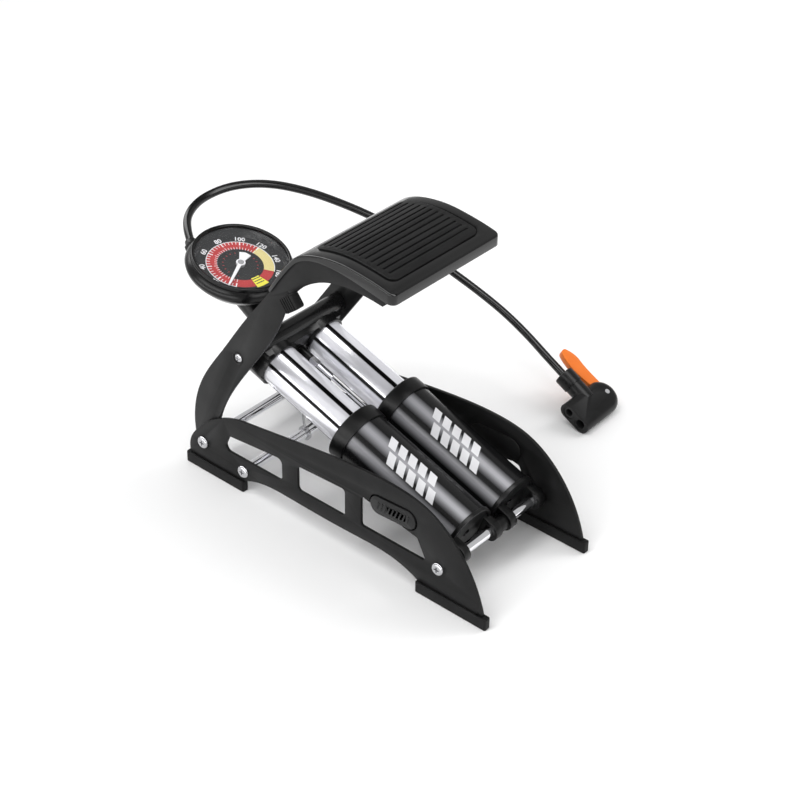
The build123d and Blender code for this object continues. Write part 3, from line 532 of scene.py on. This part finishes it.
def on_dial(x, y, above=0.0):
    """Point on the dial, from the dial's own x and y in millimetres."""
    depth = DIAL_DEPTH - above
    return place(GAUGE[0] + x, GAUGE[1] + y * math.cos(TILT) + depth * math.sin(TILT),
                 GAUGE[2] + y * math.sin(TILT) - depth * math.cos(TILT))


def polar(radius, degrees):
    return radius * math.cos(math.radians(degrees)), radius * math.sin(math.radians(degrees))


def flat_print(outlines, top=PRINT):
    """Closed thin plates on the dial from lists of dial points."""
    work = bmesh.new()
    for outline in outlines:
        low = [work.verts.new(on_dial(x, y, -SUNK)) for x, y in outline]
        high = [work.verts.new(on_dial(x, y, top)) for x, y in outline]
        work.faces.new(high)
        work.faces.new(list(reversed(low)))
        count = len(outline)
        for i in range(count):
            work.faces.new((low[i], low[(i + 1) % count], high[(i + 1) % count], high[i]))
    return as_data("print", work)


def band(inner, outer, start, end, step=4.0):
    """Ring segments between two angles, one convex piece per step."""
    count = max(1, round(abs(end - start) / step))
    pieces = []
    for i in range(count):
        a0 = start + (end - start) * i / count
        a1 = start + (end - start) * (i + 1) / count
        pieces.append([polar(inner, a0), polar(outer, a0), polar(outer, a1), polar(inner, a1)])
    return pieces


def tick(inner, outer, angle, width):
    """Outline of a straight mark between two radii."""
    ux, uy = polar(1.0, angle)
    vx, vy = -uy * width / 2, ux * width / 2
    return [(ux * inner - vx, uy * inner - vy), (ux * outer - vx, uy * outer - vy),
            (ux * outer + vx, uy * outer + vy), (ux * inner + vx, uy * inner + vy)]


def scale_angle(value):
    return ZERO_AT - DEGREES_PER_MARK * value


def numeral(value):
    """A number on the dial at its place on the scale, its top outwards."""
    data = bpy.data.curves.new("numeral", "FONT")
    data.body = str(value)
    data.size = NUMERAL_SIZE * MM
    data.align_x = "CENTER"
    data.align_y = "CENTER"
    data.extrude = PRINT * MM / 2
    data.offset = NUMERAL_WEIGHT * MM
    data.resolution_u = 3
    mesh = as_mesh(data)
    angle = scale_angle(value)
    x, y = polar(NUMERAL_R, angle)
    outward = on_dial(*polar(1, angle)) - on_dial(0, 0)
    outward.normalize()
    normal = Vector((0, -math.sin(TILT), math.cos(TILT)))
    across = outward.cross(normal)
    turn = Matrix((across, outward, normal)).transposed().to_4x4()
    mesh.transform(Matrix.Translation(on_dial(x, y, PRINT / 2)) @ turn)
    return mesh


def as_mesh(data):
    """The mesh of a curve or a text."""
    carrier = bpy.data.objects.new("carrier", data)
    scene.collection.objects.link(carrier)
    graph = bpy.context.evaluated_depsgraph_get()
    mesh = bpy.data.meshes.new_from_object(carrier.evaluated_get(graph))
    bpy.data.objects.remove(carrier)
    return mesh


def dial_marks():
    """Ticks at both edges of the coloured band, heavier at every twentieth, and the numbers."""
    ticks = band(BAND_OUT, BAND_OUT + 0.5, ZERO_AT, YELLOW_END)
    for value in range(0, 121, 4):
        angle = scale_angle(value)
        heavy = value % 20 == 0
        outer_length, inner_length, width = (3.4, 2.6, 0.9) if heavy else (2.6, 1.8, 0.5)
        ticks.append(tick(BAND_OUT - outer_length, BAND_OUT + 0.6, angle, width))
        ticks.append(tick(BAND_IN - 0.3, BAND_IN + inner_length, angle, 0.4))
    numbers = [numeral(value) for value in range(20, LAST_MARK + 1, 20)]
    return joined([flat_print(ticks, PRINT * 2)] + numbers)


def make_dial():
    red = band(BAND_IN, BAND_OUT, ZERO_AT, YELLOW_START)
    red += band(BAND_IN, BAND_OUT, YELLOW_END, WARNING_START)
    red += band(BAND_IN, BAND_OUT, WARNING_END, ZERO_AT - 360)
    yellow = band(BAND_IN, BAND_OUT, YELLOW_START, YELLOW_END)
    warning = band(BAND_IN - 1.0, BAND_OUT + 1.5, WARNING_START - WARNING_GAP, WARNING_END + WARNING_GAP)
    stripes = [tick(radius, radius + 0.8, STRIPES_AT, 7.0)
               for radius in (BAND_IN, BAND_IN + 2.4, BAND_IN + 4.8)]
    inner = [tick(12.0, 13.2, scale_angle(value), 0.4) for value in range(0, LAST_MARK + 1, 10)]
    hub = band(0.4, 3.3, 0, 360, 15)
    cap = band(0.3, 2.3, 0, 360, 15)
    add_mesh("dial_red_band", flat_print(red), "plungers", "dial_red", None)
    add_mesh("dial_yellow_band", flat_print(yellow), "plungers", "dial_yellow", None)
    add_mesh("dial_warning", flat_print(warning), "plungers", "dial_bright", None)
    add_mesh("dial_marks", dial_marks(), "plungers", "dial_white", None)
    add_mesh("dial_warning_stripes", flat_print(stripes, PRINT * 2), "plungers", "dial_black", None)
    add_mesh("dial_inner_marks", flat_print(inner), "plungers", "dial_red", None)
    add_mesh("dial_hub", flat_print(hub, 0.4), "plungers", "dial_grey", None)
    add_mesh("needle_cap", flat_print(cap, 2.7), "needle", "dial_grey", None)


make_dial()


# ---- barrel graphics ----------------------------------------------------------------
BAR_ROWS = ((33.0, -44, -22), (25.0, -17, 5))   # where a row starts; its angles round the barrel
BARS, BAR_STEP, BAR_WIDTH, BAR_SLANT = 5, 9.5, 6.8, -4.5


def wrapped_bar(work, side, start, angle0, angle1):
    """Thin printed patch that follows the barrel, slanting as it goes round."""
    rows = 6
    grid = {}
    for layer, radius in enumerate((BARREL_R - 0.05, BARREL_R + 0.06)):
        for i in range(rows + 1):
            part = i / rows
            angle = angle0 + (angle1 - angle0) * part
            for j, along in enumerate((start, start + BAR_WIDTH)):
                corner = on_barrel(side, along + BAR_SLANT * part, angle, radius)
                grid[layer, i, j] = work.verts.new(corner)
    for i in range(rows):
        work.faces.new((grid[1, i, 0], grid[1, i, 1], grid[1, i + 1, 1], grid[1, i + 1, 0]))
        work.faces.new((grid[0, i, 0], grid[0, i + 1, 0], grid[0, i + 1, 1], grid[0, i, 1]))
        for j in (0, 1):
            work.faces.new((grid[0, i, j], grid[1, i, j], grid[1, i + 1, j], grid[0, i + 1, j]))
    for i in (0, rows):
        work.faces.new((grid[0, i, 0], grid[0, i, 1], grid[1, i, 1], grid[1, i, 0]))


def make_graphics():
    """Plain slanted bars in two rows along each barrel."""
    for side in BARREL_MIDDLES:
        work = bmesh.new()
        for first, low, high in BAR_ROWS:
            for k in range(BARS):
                wrapped_bar(work, side, first + k * BAR_STEP, math.radians(low), math.radians(high))
        add_mesh(f"barrel_graphic_{side}", as_data("graphic", work), "barrels", "graphic_white", 30)


make_graphics()


# ---- hose ---------------------------------------------------------------------------
HOSE_D = 6.2 * MM
HOSE_ROUTE = [
    (-23.0, 166.2, 166.2), (-15.5, 179.0, 171.0), (-2.5, 188.0, 175.5), (15.0, 190.5, 179.0),
    (38.0, 184.0, 181.5), (63.5, 172.0, 177.5), (90.5, 159.0, 165.0), (117.5, 144.5, 147.5),
    (140.0, 127.5, 130.5), (159.5, 110.0, 111.5), (174.0, 91.5, 89.5), (188.5, 70.5, 70.5),
    (198.0, 48.0, 54.0), (198.5, 23.0, 42.0), (191.6, -3.0, 35.3), (192.1, -17.7, 26.8),
]


def smooth_line(name, points, thickness):
    """Smooth curve led by the points; with no thickness, only its line."""
    data = bpy.data.curves.new(name, "CURVE")
    data.dimensions = "3D"
    data.resolution_u = 10
    data.bevel_depth = thickness / 2
    data.bevel_resolution = 6
    data.use_fill_caps = thickness > 0
    line = data.splines.new("NURBS")
    line.points.add(len(points) - 1)
    for point, where in zip(line.points, points):
        point.co = (*where, 1.0)
    line.order_u = 3
    line.use_endpoint_u = True
    return data


def make_hose():
    points = [place(*p) for p in HOSE_ROUTE]
    centre_line = [v.co.copy() for v in as_mesh(smooth_line("hose_line", points, 0)).vertices]
    hose = add_mesh("air_hose", as_mesh(smooth_line("hose_tube", points, HOSE_D)), None, "hose_rubber", 60)
    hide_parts("hose")
    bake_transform(hose)


make_hose()


# ---- studio -------------------------------------------------------------------------
TENT, STRIP = 0.5, 4.0              # what shiny surfaces see: the tent, and the strips on top of it
AMBIENT, BACKDROP_EXTRA = 0.8, 0.3  # what matt surfaces see, and what the camera sees on top of it


def make_floor():
    mesh = bpy.data.meshes.new("floor")
    size = 6.0
    mesh.from_pydata([(-size, -size, 0), (size, -size, 0), (size, size, 0), (-size, size, 0)], [],
                     [(0, 1, 2, 3)])
    floor = bpy.data.objects.new("floor", mesh)
    floor.location.z = -0.0002
    scene.collection.objects.link(floor)
    made = bpy.data.materials.new("floor")
    made.use_nodes = True
    shader = made.node_tree.nodes["Principled BSDF"]
    shader.inputs["Base Color"].default_value = (0.93, 0.93, 0.93, 1)
    shader.inputs["Roughness"].default_value = 0.9
    shader.inputs["Specular IOR Level"].default_value = 0.1
    mesh.materials.append(made)


def area_light(name, where, target, size, power):
    data = bpy.data.lights.new(name, "AREA")
    data.shape = "RECTANGLE"
    data.size, data.size_y = size
    data.energy = power
    lamp = bpy.data.objects.new(name, data)
    lamp.location = where
    lamp.rotation_euler = (Vector(target) - Vector(where)).to_track_quat("-Z", "Y").to_euler()
    lamp.visible_glossy = False
    scene.collection.objects.link(lamp)


def between(tree, value, low, high, soft=0.03):
    """One inside the range, nought outside it, with soft ends."""
    edges = []
    for at, flip in ((low, False), (high, True)):
        node = tree.nodes.new("ShaderNodeMapRange")
        node.interpolation_type = "SMOOTHSTEP"
        node.inputs["From Min"].default_value = at - soft
        node.inputs["From Max"].default_value = at + soft
        node.inputs["To Min"].default_value = 1.0 if flip else 0.0
        node.inputs["To Max"].default_value = 0.0 if flip else 1.0
        tree.links.new(value, node.inputs["Value"])
        edges.append(node.outputs["Result"])
    return combine(tree, "MULTIPLY", *edges)


def combine(tree, operation, first, second):
    node = tree.nodes.new("ShaderNodeMath")
    node.operation = operation
    for socket, value in zip(node.inputs, (first, second)):
        if isinstance(value, (int, float)):
            socket.default_value = value
        else:
            tree.links.new(value, socket)
    return node.outputs["Value"]


def studio_reflection(tree):
    """A white tent with three bright strips and two black ones."""
    where = tree.nodes.new("ShaderNodeTexCoord")
    split = tree.nodes.new("ShaderNodeSeparateXYZ")
    tree.links.new(where.outputs["Generated"], split.inputs["Vector"])
    x, z = split.outputs["X"], split.outputs["Z"]
    side = between(tree, x, -1.2, -0.7)
    above = between(tree, z, 0.25, 1.2, 0.15)
    low_strip = combine(tree, "MULTIPLY", side, between(tree, z, 0.02, 0.21, 0.02))
    high_strip = combine(tree, "MULTIPLY", side, between(tree, z, 0.41, 0.58, 0.02))
    top_strip = combine(tree, "MULTIPLY", above, between(tree, x, -0.22, 0.22))
    bright = combine(tree, "ADD", combine(tree, "ADD", low_strip, high_strip), top_strip)
    narrow_black = combine(tree, "MULTIPLY", side, between(tree, z, 0.23, 0.39, 0.01))
    wide_black = combine(tree, "MULTIPLY", above, between(tree, x, 0.25, 0.5, 0.01))
    black = combine(tree, "ADD", narrow_black, wide_black)
    lit = combine(tree, "ADD", TENT, combine(tree, "MULTIPLY", bright, STRIP))
    return combine(tree, "MULTIPLY", lit, combine(tree, "SUBTRACT", 1.0, black))


def make_light():
    world = bpy.data.worlds.new("studio")
    scene.world = world
    world.use_nodes = True
    tree = world.node_tree
    path = tree.nodes.new("ShaderNodeLightPath")
    blend = tree.nodes.new("ShaderNodeMix")
    blend.data_type = "FLOAT"
    backdrop = combine(tree, "MULTIPLY", path.outputs["Is Camera Ray"], BACKDROP_EXTRA)
    tree.links.new(path.outputs["Is Glossy Ray"], blend.inputs["Factor"])
    tree.links.new(combine(tree, "ADD", AMBIENT, backdrop), blend.inputs["A"])
    tree.links.new(studio_reflection(tree), blend.inputs["B"])
    background = tree.nodes["Background"]
    background.inputs["Color"].default_value = (1, 1, 1, 1)
    tree.links.new(blend.outputs["Result"], background.inputs["Strength"])
    area_light("key", (-0.9, 0.2, 1.5), (0, 0, 0.1), (0.5, 1.6), 14)
    area_light("fill", (1.2, -0.6, 1.2), (0, 0, 0.1), (0.5, 1.2), 8)
    scene.view_settings.view_transform = "Standard"


make_floor()
make_light()
